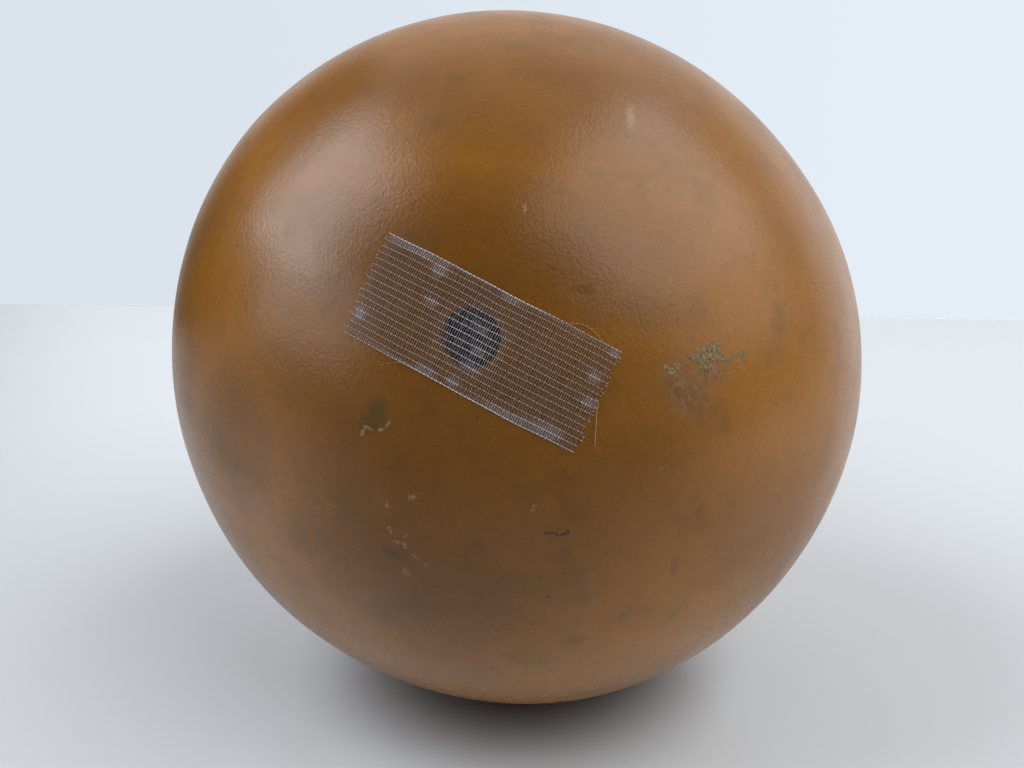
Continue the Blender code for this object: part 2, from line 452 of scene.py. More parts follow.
def relief(upright):
    """How far the real rind stands out of or under the plain form at each upright point."""
    height = 0.00026 * noise_at(upright, 0.045, 1) + 0.00006 * noise_at(upright, 0.013, 2)
    angle = np.arccos(np.clip(-upright[:, 2] / np.linalg.norm(upright, axis=1), -1, 1))
    bearing = np.arctan2(upright[:, 1], upright[:, 0])
    right = angle * LOWER_RADIUS * np.cos(bearing)
    up = angle * LOWER_RADIUS * np.sin(bearing)
    height -= 0.00012 * mark_share(right, up, DARK_STAINS, 0, 0.8)
    fluting = smooth(COLLAR_HEIGHT - 0.022, COLLAR_HEIGHT, upright[:, 2])
    return height + fluting * 0.00045 * (np.cos(STALK_RIDGES * bearing) - 1)


def upright_on_rind(right, up, lift=0.0):
    """Upright points over the plain surface of the blossom end, before the lobes."""
    right, up, lift = (np.asarray(value, float) for value in np.broadcast_arrays(right, up, lift))
    angle = np.hypot(right, up) / LOWER_RADIUS
    bearing = np.arctan2(up, right)
    radius = LOWER_RADIUS + lift
    ring = radius * np.sin(angle)
    return np.column_stack((ring * np.cos(bearing), ring * np.sin(bearing), -radius * np.cos(angle)))


def on_rind(right, up, lift=0.0):
    """Points on the blossom end, from places given along the rind, this far above its relief."""
    right, up = np.atleast_1d(right), np.atleast_1d(up)
    height = relief(upright_on_rind(right, up))
    return laid(grown(upright_on_rind(right, up, lift + height))) + MIDDLE


def grid_faces(rows, columns, start=0, closed=True):
    """Faces between rows of points, each row closed round or open."""
    last = columns if closed else columns - 1
    here = np.arange(last)
    after = (here + 1) % columns
    faces = []
    for row in range(rows - 1):
        low, high = start + row * columns, start + (row + 1) * columns
        faces.append(np.column_stack((low + here, low + after, high + after, high + here)))
    return np.vstack(faces)


def outward(outline):
    """Unit normals of the outline, pointing out of the gourd, as (radius, height)."""
    run = np.gradient(outline, axis=0)
    run /= np.linalg.norm(run, axis=1)[:, None]
    return np.column_stack((run[:, 1], -run[:, 0]))


def gourd_skin(material):
    """The whole rind as one closed surface: outside, stalk end, inside and the drilled hole's wall."""
    outer = outer_outline()
    reach = lengths(outer)[-1]
    front = np.arange(0, FRONT_REACH, FRONT_STEP)
    back_count = int((reach - FRONT_REACH) / BACK_STEP)
    stations = np.concatenate((front, np.linspace(FRONT_REACH, reach, back_count + 1)))
    outline = at_lengths(outer, stations)
    plain = turned(outline, SKIN_SIDES)
    normals = outward(outline)
    angles = 2 * math.pi * np.arange(SKIN_SIDES) / SKIN_SIDES
    normal_r = np.repeat(normals[:, 0], SKIN_SIDES)
    spokes = np.tile(np.column_stack((np.cos(angles), np.sin(angles))), (len(outline), 1))
    directions = np.column_stack((spokes * normal_r[:, None], np.repeat(normals[:, 1], SKIN_SIDES)))
    outside = laid(grown(plain + directions * relief(plain)[:, None])) + MIDDLE
    outside[:, 2] = np.maximum(outside[:, 2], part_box("gourd_shell")[0].z)
    inner = inner_outline()
    inner_stations = lengths(inner)[-1] * np.linspace(0, 1, INNER_RINGS) ** 1.6
    inside = laid(grown(turned(at_lengths(inner, inner_stations[:-1]), SKIN_SIDES))) + MIDDLE
    rings_out, rings_in = len(outline), INNER_RINGS - 1
    points = np.vstack((outside, inside))
    here = np.arange(SKIN_SIDES)
    after = (here + 1) % SKIN_SIDES
    hole = np.column_stack((here, len(outside) + here, len(outside) + after, after))
    groups = (
        grid_faces(rings_out, SKIN_SIDES),
        grid_faces(rings_in, SKIN_SIDES, len(outside))[:, ::-1],
        hole,
    )
    faces = [tuple(face) for group in groups for face in group.tolist()]
    top = len(outside) - SKIN_SIDES
    faces.append(tuple(range(top, top + SKIN_SIDES)))
    dome = len(points) - SKIN_SIDES
    faces.append(tuple(range(dome + SKIN_SIDES - 1, dome - 1, -1)))
    skin = add_mesh("gourd_skin", points, faces, [material])
    skin.data.set_sharp_from_angle(angle=math.radians(50))
    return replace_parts(skin, "gourd_shell")


def growth(marks, step, rise, rim_rise, rough, torn, seed):
    """A ragged patch that stands out of the rind, with how much each upper face is rim and how rough.

    Its border lies just under the skin, so what shows is where it comes out."""
    reach = max(max(mark[2], mark[3]) for mark in marks) * 1.9
    rights = np.arange(min(m[0] for m in marks) - reach, max(m[0] for m in marks) + reach, step) / 1000
    ups = np.arange(min(m[1] for m in marks) - reach, max(m[1] for m in marks) + reach, step) / 1000
    right, up = (grid.ravel() for grid in np.meshgrid(rights, ups, indexing="ij"))
    place = upright_on_rind(right, up)
    coarse = noise_at(place, 0.0010, seed)
    fine = noise_at(place, 0.0004, seed + 1)
    share = mark_share(right, up, marks, 0.8 * coarse + torn * fine, 0.45)
    rim = 4 * share * (1 - share)
    lift = rise * smooth(0.05, 0.5, share) + rim_rise * rim * (0.6 + 0.8 * coarse)
    lift += rough * share * fine - 0.00010 * (1 - smooth(0.0, 0.15, share))
    top = on_rind(right, up, lift)
    under = on_rind(right, up, -0.0004)
    rows, columns = len(rights), len(ups)
    cells = grid_faces(rows, columns, closed=False)
    kept = cells[share[cells].max(axis=1) > 0.01]
    start = len(top)
    edges = np.vstack([kept[:, (a, (a + 1) % 4)] for a in range(4)])
    outer = {tuple(edge) for edge in edges.tolist()} - {(b, a) for a, b in edges.tolist()}
    walls = [(b, a, a + start, b + start) for a, b in sorted(outer)]
    faces = [tuple(face) for face in kept.tolist()]
    faces += [tuple(index + start for index in face[::-1]) for face in kept.tolist()] + walls
    points = np.vstack((top, under))
    rim_of = [float(rim[list(face)].mean()) for face in kept]
    rough_of = [float(fine[list(face)].mean() + coarse[list(face)].mean()) for face in kept]
    return points, faces, rim_of, rough_of


def without_loose_points(points, faces):
    """Leaves out the points that no face uses."""
    used = sorted({index for face in faces for index in face})
    place = {index: count for count, index in enumerate(used)}
    return points[used], [tuple(place[index] for index in face) for face in faces]


def growths(name, groups, materials, choose):
    """One piece from several growths; choose gives each upper face its material."""
    shapes, kinds = [], []
    for points, faces, rim_of, rough_of in groups:
        shapes.append(without_loose_points(points, faces))
        upper = [choose(rim, rough) for rim, rough in zip(rim_of, rough_of)]
        kinds += upper + [0] * (len(faces) - len(upper))
    points, faces = join_shapes(shapes)
    made = add_mesh(name, points, faces, materials)
    made.data.polygons.foreach_set("material_index", kinds)
    return made


def rind_growths():
    """Crusts with pale raised rims, thin pale flakes, and cracks with lifted edges."""
    crust = grown_material("crust", *CRUST_TONES, 1700.0, 0.85)
    pale = grown_material("pale_flake", *FLAKE_TONES, 1900.0, 0.8)
    dark = grown_material("crack_dark", *CRACK_TONES, 1500.0, 0.9)
    crusts = [growth(CRUSTS, 0.15, 0.00009, 0.00016, 0.00008, 0.5, 11)]
    crusts.append(growth(SIDE_CRUSTS, 0.15, 0.00006, 0.00010, 0.00007, 0.5, 13))
    growths("rind_crusts", crusts, [crust, pale], lambda rim, rough: int(rim > 0.5 and rough > 0.0))
    flakes = []
    for seed, mark in enumerate(FLAKES, 20):
        flakes.append(growth([mark], 0.13, 0.00003, 0.00004, 0.00005, 1.1, seed))
    growths("rind_flakes", flakes, [pale], lambda rim, rough: 0)
    cracks = [growth(CRACKS, 0.11, 0.00001, 0.00010, 0.00002, 0.9, 71)]
    growths("rind_cracks", cracks, [dark, pale], lambda rim, rough: int(rim > 0.62 and rough > 0.1))


# Materials


def rind_marks(tree, position, marks, ragged, soft=0.3, depth=7.0):
    """A node output that is 1 on these marks and 0 elsewhere."""
    found = None
    for mark in marks:
        right, up, half_length, half_width, turn = mark if len(mark) == 5 else (*mark, mark[2], 0)
        step = 0.5
        rights, ups = np.array((right, right + step, right)) / 1000, np.array((up, up, up + step)) / 1000
        place, beside, above = (Vector(point) for point in on_rind(rights, ups))
        x = (beside - place).normalized()
        out = x.cross(above - place).normalized()
        y = out.cross(x)
        local = Matrix((x, y, out)).transposed() @ Matrix.Rotation(math.radians(turn), 3, "Z")
        mapping = add_node(tree, "ShaderNodeMapping", {"vector_type": "TEXTURE"})
        mapping.inputs["Location"].default_value = place
        mapping.inputs["Rotation"].default_value = local.to_euler("XYZ")
        mapping.inputs["Scale"].default_value = (half_length / 1000, half_width / 1000, depth / 1000)
        tree.links.new(position, mapping.inputs["Vector"])
        reach = add_node(tree, "ShaderNodeVectorMath", {"operation": "LENGTH"}, n0=mapping.outputs[0])
        wobbly = math_node(tree, "ADD", reach.outputs["Value"], ragged)
        share = map_range(tree, wobbly, 1 - soft, 1 + soft, 1.0, 0.0)
        found = share if found is None else math_node(tree, "MAXIMUM", found, share)
    return found


def stained(tree, position, ragged, grey, color):
    """Adds the rubbed streak, the stains and the pores of the blossom end to this colour."""
    streaks = noise_node(tree, position, 420.0, 3.0, 0.7, 1.5)
    grey_stain = mix_color(tree, map_range(tree, streaks, 0.42, 0.62), *GREY_TONES)
    layers = (
        (rind_marks(tree, position, PALE_STREAKS, ragged, 0.7), 0.35, RUBBED),
        (grey, 0.6, grey_stain),
        (rind_marks(tree, position, GREEN_STAINS, ragged, 0.7), 0.6, GREEN),
        (rind_marks(tree, position, DARK_STAINS, ragged, 0.7), 0.35, DARK),
        (rind_marks(tree, position, PORES, math_node(tree, "MULTIPLY", ragged, 0.3), 0.4), 0.75, SPECK),
    )
    for share, strength, tone in layers:
        color = mix_color(tree, math_node(tree, "MULTIPLY", share, strength), color, tone)
    return color


def specks_behind(tree, position):
    """Fine dark specks on the side that the marks don't cover."""
    cells = add_node(tree, "ShaderNodeTexVoronoi", None, scale=120.0)
    tree.links.new(position, cells.inputs["Vector"])
    speck = map_range(tree, cells.outputs["Distance"], 0.026, 0.042, 0.75, 0.0)
    behind = map_range(tree, axes(tree, position)["Y"], -0.14, -0.09)
    return math_node(tree, "MULTIPLY", speck, behind)


def rind_material():
    """Waxy brown rind: amber and brown clouds, fine grain, stains and pores, darkened by painted shade
    over broad parts of the blossom end.
    """
    made, tree, shader = new_material("rind")
    position = object_position(tree)
    clouds = noise_node(tree, position, 14.0, 3.0, 0.55)
    mottle = noise_node(tree, position, 75.0, 4.0, 0.6)
    grain = noise_node(tree, position, 620.0, 3.0, 0.6)
    ragged = math_node(tree, "MULTIPLY_ADD", noise_node(tree, position, 700.0, 4.0, 0.65), 2.4, -1.2)
    grey = rind_marks(tree, position, GREY_STAINS, ragged, 0.75)

    color = mix_color(tree, map_range(tree, clouds, 0.35, 0.68), RIND_BROWN, RIND_AMBER)
    olive = map_range(tree, mottle, 0.50, 0.70, 0.0, 0.42)
    color = mix_color(tree, olive, color, RIND_OLIVE)
    speckle = map_range(tree, grain, 0.3, 0.7, 0.93, 1.07, "LINEAR")
    color = mix_color(tree, 1.0, color, speckle, "MULTIPLY")

    # Painted shade: the colour is darkened on broad marks of the blossom end and more weakly high on it,
    # standing in for shade
    crown = rind_marks(tree, position, PAINTED_CROWN_SHADE, 0.0, 0.75, 90.0)
    painted_shade = rind_marks(tree, position, PAINTED_SHADES, 0.0, 0.75, 90.0)
    painted_shade = math_node(tree, "MAXIMUM", painted_shade, math_node(tree, "MULTIPLY", crown, 0.75))
    color = mix_color(tree, painted_shade, color, PAINTED_SHADE_TONE, "MULTIPLY")
    color = stained(tree, position, ragged, grey, color)
    color = mix_color(tree, specks_behind(tree, position), color, SPECK)
    tree.links.new(color, shader.inputs["Base Color"])

    waxy = map_range(tree, mottle, 0.3, 0.7, 0.25, 0.32, "LINEAR")
    tree.links.new(math_node(tree, "MULTIPLY_ADD", grey, 0.12, waxy), shader.inputs["Roughness"])
    shader.inputs["Specular IOR Level"].default_value = 0.3

    peel = noise_node(tree, position, 1150.0, 2.0, 0.5)
    ripple = noise_node(tree, position, 210.0, 2.0, 0.5)
    height = math_node(tree, "MULTIPLY_ADD", peel, 0.000075, math_node(tree, "MULTIPLY", ripple, 0.00004))
    bump = add_node(tree, "ShaderNodeBump", None, strength=1.0, distance=1.0, height=height)
    tree.links.new(bump.outputs[0], shader.inputs["Normal"])
    return made


def grown_material(name, low, high, scale, roughness):
    """A dry, matte growth whose colour runs between two tones."""
    made, tree, shader = new_material(name)
    position = object_position(tree)
    lumps = noise_node(tree, position, scale, 4.0, 0.65)
    color = mix_color(tree, map_range(tree, lumps, 0.32, 0.68), low, high)
    tree.links.new(color, shader.inputs["Base Color"])
    shader.inputs["Roughness"].default_value = roughness
    bump = add_node(tree, "ShaderNodeBump", None, strength=0.7, distance=0.0003, height=lumps)
    tree.links.new(bump.outputs[0], shader.inputs["Normal"])
    return made


def yarn_material():
    """Nylon yarn: it takes the ground's warmth where it is stuck down, and is silvery where it lifts."""
    made, tree, shader = new_material("yarn")
    position = object_position(tree)
    uneven = math_node(tree, "MULTIPLY_ADD", noise_node(tree, position, 500.0, 3.0, 0.6), 1.4, -0.7)
    over_hole = (0, 0, HOLE_RADIUS * 1000, HOLE_RADIUS * 1000, 0)
    loose = rind_marks(tree, position, [*lifted_marks(), over_hole], uneven, 0.6)
    color = mix_color(tree, loose, (0.30, 0.235, 0.20), (0.46, 0.455, 0.48))
    tree.links.new(color, shader.inputs["Base Color"])
    shader.inputs["Roughness"].default_value = 0.35
    return made


def film_material():
    """Clear adhesive film: a thin brown veil where it is stuck down, a silvery haze where it lifts."""
    made, tree, shader = new_material("film")
    position = object_position(tree)
    uneven = math_node(tree, "MULTIPLY_ADD", noise_node(tree, position, 300.0, 3.0, 0.6), 1.6, -0.8)
    loose = rind_marks(tree, position, lifted_marks(), uneven, 0.6)
    color = mix_color(tree, loose, (0.066, 0.037, 0.030), (0.27, 0.245, 0.27))
    tree.links.new(color, shader.inputs["Base Color"])
    tree.links.new(map_range(tree, loose, 0.0, 1.0, 0.14, 0.26), shader.inputs["Alpha"])
    shader.inputs["Roughness"].default_value = 0.3
    return made


def pulp_material():
    """Pale dry fibres in a few clumps, painted near black between them as painted shade deep in the hole.
    """
    made, tree, shader = new_material("pulp")
    position = object_position(tree)
    fibres = noise_node(tree, position, 900.0, 4.0, 0.7, 0.4)
    ragged = math_node(tree, "MULTIPLY_ADD", noise_node(tree, position, 450.0, 3.0, 0.6), 2.4, -1.2)
    clump = rind_marks(tree, position, PULP_CLUMPS, ragged, 0.4, 14.0)
    pale = mix_color(tree, map_range(tree, fibres, 0.3, 0.7), (0.27, 0.24, 0.17), (0.58, 0.55, 0.44))
    # Between the clumps the wad is painted near black and bluish: painted shade of the hole's inside, not
    # the pulp's own colour
    tree.links.new(mix_color(tree, clump, (0.010, 0.014, 0.018), pale), shader.inputs["Base Color"])
    shader.inputs["Roughness"].default_value = 0.9
    bump = add_node(tree, "ShaderNodeBump", None, strength=0.8, distance=0.0006, height=fibres)
    tree.links.new(bump.outputs[0], shader.inputs["Normal"])
    return made


def stalk_material():
    made, tree, shader = new_material("stalk")
    position = object_position(tree)
    stretched = add_node(tree, "ShaderNodeMapping")
    stretched.inputs["Scale"].default_value = (1.0, 0.14, 1.0)
    tree.links.new(position, stretched.inputs["Vector"])
    fibres = noise_node(tree, stretched.outputs[0], 1500.0, 4.0, 0.65)
    blotches = noise_node(tree, position, 160.0, 3.0, 0.6)
    fibre_share = map_range(tree, fibres, 0.3, 0.7)
    color = mix_color(tree, fibre_share, (0.075, 0.045, 0.022), (0.22, 0.155, 0.085))
    color = mix_color(tree, map_range(tree, blotches, 0.5, 0.75, 0.0, 0.6), color, (0.110, 0.094, 0.070))
    tree.links.new(color, shader.inputs["Base Color"])
    shader.inputs["Roughness"].default_value = 0.8
    bump = add_node(tree, "ShaderNodeBump", None, strength=0.9, distance=0.0004, height=fibres)
    tree.links.new(bump.outputs[0], shader.inputs["Normal"])
    return made


# Tape, in metres along and across the strip from its middle
TAPE_TURN = math.radians(-26)
TAPE_MIDDLE = (0.0016, -0.0006)
TAPE_LIFT = 0.00022
TAPE_HALF_WIDTH = 0.0125
LEFT_END = -0.0297
LEFT_SLANT = -0.030
# How far the strip reaches to the right, as (width, length)
RIGHT_END = (
    (-0.0125, 0.0302),
    (-0.0099, 0.0309),
    (-0.0055, 0.0303),
    (-0.0005, 0.0301),
    (0.0125, 0.0298),
)
LENGTHWISE_YARNS = 17
CROSSWISE_PITCH = 0.00053
LAST_CROSSWISE = 0.0306
YARN_HALF_WIDTH = 0.00011
YARN_HALF_HEIGHT = 0.00006
YARN_PINCH = 0.35
CROSS_HALF_WIDTH = 0.000034
CROSS_HALF_HEIGHT = 0.00004
LOOSE_THREAD = (
    (0.0292, 0.0006),
    (0.0300, 0.0002),
    (0.0311, -0.0022),
    (0.0322, -0.0046),
    (0.0342, -0.0091),
)
FRAY = (
    (0.0158, 0.0124),
    (0.0170, 0.0131),
    (0.0191, 0.0140),
    (0.0218, 0.0139),
    (0.0242, 0.0131),
    (0.0260, 0.0122),
)
HAIR = ((-0.0185, -0.0158), (-0.0147, -0.0132), (-0.0120, -0.0117))
# Where the film has lifted and the yarns look silvery: length, width, half length and half width in mm
LIFTED = (
    (-22.0, 12.0, 8.5, 1.1),
    (-15.2, 10.2, 2.0, 1.6),
    (3.0, 12.0, 2.4, 0.9),
    (-27.6, -7.0, 1.5, 1.6),
    (-13.2, 2.8, 1.8, 1.0),
    (-7.5, -11.6, 2.8, 1.0),
    (-1.0, -11.0, 2.0, 1.0),
    (13.0, -11.8, 7.0, 0.9),
    (22.0, -11.0, 5.0, 1.6),
    (28.6, 11.6, 1.4, 1.0),
    (26.8, 4.6, 1.6, 1.1),
    (28.4, -1.1, 1.8, 1.2),
    (1.0, -6.2, 3.0, 1.0),
)


def right_end(width):
    widths, ends = zip(*RIGHT_END)
    return np.interp(width, widths, ends)


def lifted_share(length, width):
    """How loose the film is at these places, from 0 to 1."""
    share = np.zeros(np.shape(length))
    for middle_length, middle_width, half_length, half_width in LIFTED:
        across = (length * 1000 - middle_length) / half_length
        reach = np.hypot(across, (width * 1000 - middle_width) / half_width)
        share = np.maximum(share, 1 - smooth(0.6, 1.3, reach))
    return share


def lifted_marks():
    """The lifted places and both edges of the strip, as marks on the rind."""
    edge = TAPE_HALF_WIDTH * 1000
    marks = []
    for length, width, half_length, half_width in (*LIFTED, (0, edge, 30, 0.3), (0, -edge, 30, 0.3)):
        right = TAPE_MIDDLE[0] * 1000 + length * math.cos(TAPE_TURN) - width * math.sin(TAPE_TURN)
        up = TAPE_MIDDLE[1] * 1000 + length * math.sin(TAPE_TURN) + width * math.cos(TAPE_TURN)
        marks.append((right, up, half_length, half_width, math.degrees(TAPE_TURN)))
    return marks


def on_tape(length, width, lift):
    """Points over the rind, from places along and across the strip, counted from its middle."""
    right = TAPE_MIDDLE[0] + length * math.cos(TAPE_TURN) - width * math.sin(TAPE_TURN)
    up = TAPE_MIDDLE[1] + length * math.sin(TAPE_TURN) + width * math.cos(TAPE_TURN)
    return on_rind(right, up, TAPE_LIFT + lift)


def tube(path_length, path_width, lift, half_width, half_height, sides):
    """Points and faces of a flat yarn along a path on the tape."""
    count = len(path_length)
    run_length, run_width = np.gradient(path_length), np.gradient(path_width)
    size = np.hypot(run_length, run_width)
    rows = []
    for side in range(sides):
        angle = 2 * math.pi * side / sides
        shift = half_width * math.cos(angle)
        beside_length = path_length - shift * run_width / size
        beside_width = path_width + shift * run_length / size
        rows.append(on_tape(beside_length, beside_width, lift + half_height * math.sin(angle)))
    points = np.stack(rows, axis=1).reshape(-1, 3)
    faces = [tuple(face) for face in grid_faces(count, sides).tolist()]
    faces.append(tuple(range(sides - 1, -1, -1)))
    faces.append(tuple(range((count - 1) * sides, count * sides)))
    return points, faces


def join_shapes(shapes):
    points, faces, start = [], [], 0
    for shape_points, shape_faces in shapes:
        points.append(shape_points)
        faces += [tuple(index + start for index in face) for face in shape_faces]
        start += len(shape_points)
    return np.vstack(points), faces


def smooth_path(corners, steps):
    """A curve through these (length, width) corners."""
    corners = np.array(corners)
    run = np.concatenate(((0,), np.cumsum(np.linalg.norm(np.diff(corners, axis=0), axis=1))))
    stations = np.linspace(0, run[-1], steps)
    slopes = np.gradient(corners, run, axis=0)
    path = []
    for station in stations:
        at = min(max(np.searchsorted(run, station) - 1, 0), len(run) - 2)
        gap = run[at + 1] - run[at]
        t = (station - run[at]) / gap
        rise = slopes[at] * gap * (t**3 - 2 * t**2 + t) + slopes[at + 1] * gap * (t**3 - t**2)
        share = 3 * t**2 - 2 * t**3
        path.append(corners[at] * (1 - share) + corners[at + 1] * share + rise)
    return np.array(path).T


def lengthwise_yarns(random):
    """Yarns along the strip. Each dips under every second crosswise yarn, and is thin where it does."""
    shapes = []
    rows = np.linspace(-TAPE_HALF_WIDTH, TAPE_HALF_WIDTH, LENGTHWISE_YARNS)
    for index, width in enumerate(rows):
        left = LEFT_END + LEFT_SLANT * width - random.uniform(0, 0.0004)
        right = float(right_end(width)) + random.uniform(-0.0003, 0.0007)
        length = np.arange(left, right, CROSSWISE_PITCH / 4)
        place = width + 0.00006 * np.sin(length * 400 + random.uniform(0, 6.3))
        over = 0.5 + 0.5 * np.cos(math.pi * ((length - LEFT_END) / CROSSWISE_PITCH + index))
        thick = YARN_HALF_WIDTH * (1.4 if index in (0, LENGTHWISE_YARNS - 1) else 1.0)
        lift = 0.00003 + 0.00005 * over + 0.00005 * lifted_share(length, place)
        half_width = thick * (YARN_PINCH + (1 - YARN_PINCH) * over)
        shapes.append(tube(length, place, lift, half_width, YARN_HALF_HEIGHT, 5))
    return shapes


def crosswise_yarns(random):
    """Yarns across the strip, over and under the lengthwise ones, with a short loop past each edge."""
    shapes = []
    pitch = 2 * TAPE_HALF_WIDTH / (LENGTHWISE_YARNS - 1)
    index = 0
    place = LEFT_END + 0.0005
    while place < LAST_CROSSWISE:
        low = -TAPE_HALF_WIDTH - random.uniform(0.0001, 0.0004)
        high = TAPE_HALF_WIDTH + random.uniform(0.0001, 0.0004)
        width = np.arange(low, high, pitch / 4)
        sway = 0.00003 * np.sin(width * 900 + index) + random.normal(0, 0.00003)
        length = place + sway + LEFT_SLANT * width * smooth(0.02, -LEFT_END, -place)
        within = length < right_end(width)
        if within.sum() > 3:
            way = 1 if index % 2 else -1
            weave = way * np.cos(math.pi * (width + TAPE_HALF_WIDTH) / pitch)
            lift = 0.00004 + 0.00008 * weave + 0.00006 * lifted_share(length, width)
            thick = CROSS_HALF_WIDTH * random.uniform(0.85, 1.2)
            yarn = (length[within], width[within], lift[within], thick, CROSS_HALF_HEIGHT, 4)
            shapes.append(tube(*yarn))
        place += CROSSWISE_PITCH
        index += 1
    return shapes


def loose_ends(random):
    """The long loose thread, a hair beside the strip, the frayed loop, and short hooks at both ends."""
    shapes = []
    thread = smooth_path(LOOSE_THREAD, 60)
    shapes.append(tube(*thread, 0.00008 + 0.0003 * np.linspace(0, 1, 60), 0.00007, 0.00006, 6))
    hair = smooth_path(HAIR, 40)
    shapes.append(tube(*hair, 0.00003 - TAPE_LIFT + np.zeros(40), 0.00003, 0.00003, 5))
    fray = smooth_path(FRAY, 160)
    wave = np.sin(np.linspace(0, 60, 160))
    lift, half_width = 0.00006 * (1 + wave), 0.00003 * (1.6 + wave)
    shapes.append(tube(fray[0], fray[1] + 0.0001 * wave, lift, half_width, 0.00004, 5))
    for index in range(2 * LENGTHWISE_YARNS):
        left = index < LENGTHWISE_YARNS
        width = random.uniform(-TAPE_HALF_WIDTH, TAPE_HALF_WIDTH)
        start = LEFT_END + LEFT_SLANT * width if left else float(right_end(width))
        way = -1 if left else 1
        reach = random.uniform(0.0002, 0.0006)
        curl = random.uniform(-0.0004, 0.0004)
        t = np.linspace(0, 1, 10)
        length = start + way * reach * t
        path = width + curl * t**2
        shapes.append(tube(length, path, 0.00005 + 0.00018 * t**2, 0.00005 + 0.00004 * t, 0.00005, 5))
    return shapes


def tape_net(material):
    random = np.random.default_rng(7)
    points, faces = join_shapes(lengthwise_yarns(random) + crosswise_yarns(random) + loose_ends(random))
    net = add_mesh("tape_net", points, faces, [material])
    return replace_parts(net, "tape")


def tape_film(material):
    """The clear film under the yarns, as one thin sheet."""
    steps = 100
    widths = np.linspace(-TAPE_HALF_WIDTH, TAPE_HALF_WIDTH, 36)
    share = np.linspace(0, 1, steps)
    left = LEFT_END + LEFT_SLANT * widths
    length = left + (right_end(widths) - left) * share[:, None]
    width = np.tile(widths, (steps, 1))
    points = on_tape(length.ravel(), width.ravel(), -0.00004)
    faces = [tuple(face) for face in grid_faces(steps, len(widths), closed=False).tolist()]
    return add_mesh("tape_film", points, faces, [material])


# Pulp behind the hole
PULP_MIDDLE = (0.0058, -0.0005)
PULP_RADII = (0.0068, 0.0110, 0.0030)
PULP_DEPTH = 0.0088
PULP_FIBRES = 110
# Its pale clumps, given like the marks on the rind
PULP_CLUMPS = (
    (-0.8, 4.2, 2.0, 1.2, -20),
    (1.5, 2.4, 1.9, 1.0, -50),
    (-0.3, -3.1, 1.9, 1.3, 15),
    (1.7, -3.4, 1.0, 0.7, 60),
)


def in_hole(right, up, depth):
    return laid(grown(upright_on_rind(right, up, -np.asarray(depth)))) + MIDDLE


def pulp_wad(material):
    """A flattened wad behind the hole with a torn surface, and loose fibres on it."""
    bpy.ops.mesh.primitive_ico_sphere_add(subdivisions=6, radius=1)
    ball = bpy.context.object
    unit = np.array([vert.co for vert in ball.data.vertices])
    faces = [tuple(face.vertices) for face in ball.data.polygons]
    bpy.data.objects.remove(ball)
    lump = 1 + 0.15 * noise_at(unit, 0.55, 4) + 0.09 * noise_at(unit, 0.2, 5)
    lump += 0.05 * noise_at(unit, 0.07, 6)
    shape = unit * lump[:, None]
    right = PULP_MIDDLE[0] + PULP_RADII[0] * shape[:, 0]
    up = PULP_MIDDLE[1] + PULP_RADII[1] * shape[:, 1]
    shapes = [(in_hole(right, up, PULP_DEPTH - PULP_RADII[2] * shape[:, 2]), faces)]
    random = np.random.default_rng(3)
    for _ in range(PULP_FIBRES):
        shapes.append(pulp_fibre(random))
    points, faces = join_shapes(shapes)
    wad = add_mesh("pulp_wad", points, faces, [material])
    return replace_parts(wad, "dried_pulp")


def pulp_fibre(random):
    """A short curled fibre that starts in the wad and stands a little out of it."""
    angle = random.uniform(0, 2 * math.pi)
    spread = math.sqrt(random.uniform(0, 0.8))
    right = PULP_MIDDLE[0] + PULP_RADII[0] * spread * math.cos(angle)
    up = PULP_MIDDLE[1] + PULP_RADII[1] * spread * math.sin(angle)
    surface = PULP_DEPTH - PULP_RADII[2] * math.sqrt(1 - spread**2)
    t = np.linspace(0, 1, 9)
    heading = random.uniform(0, 2 * math.pi) + random.uniform(-2.5, 2.5) * t
    reach = random.uniform(0.0008, 0.0022) / 9
    rights = right + np.cumsum(np.cos(heading)) * reach
    ups = up + np.cumsum(np.sin(heading)) * reach
    depths = surface + 0.0004 - random.uniform(0.0004, 0.0010) * np.sin(math.pi * t)
    depths = np.maximum(depths, WALL + 0.0004)
    rows = []
    thick = random.uniform(0.00005, 0.00011)
    for side in range(4):
        turn = math.pi * side / 2
        beside_right = rights - thick * np.cos(turn) * np.sin(heading)
        beside_up = ups + thick * np.cos(turn) * np.cos(heading)
        rows.append(in_hole(beside_right, beside_up, depths - thick * np.sin(turn)))
    points = np.stack(rows, axis=1).reshape(-1, 3)
    faces = [tuple(face) for face in grid_faces(len(t), 4).tolist()]
    return points, faces + [(3, 2, 1, 0), tuple(range(4 * len(t) - 4, 4 * len(t)))]


# Stalk
STALK_GAP = 0.0003
STALK_SIDES = 150
STALK_RINGS = 80
TIP_RINGS = 14


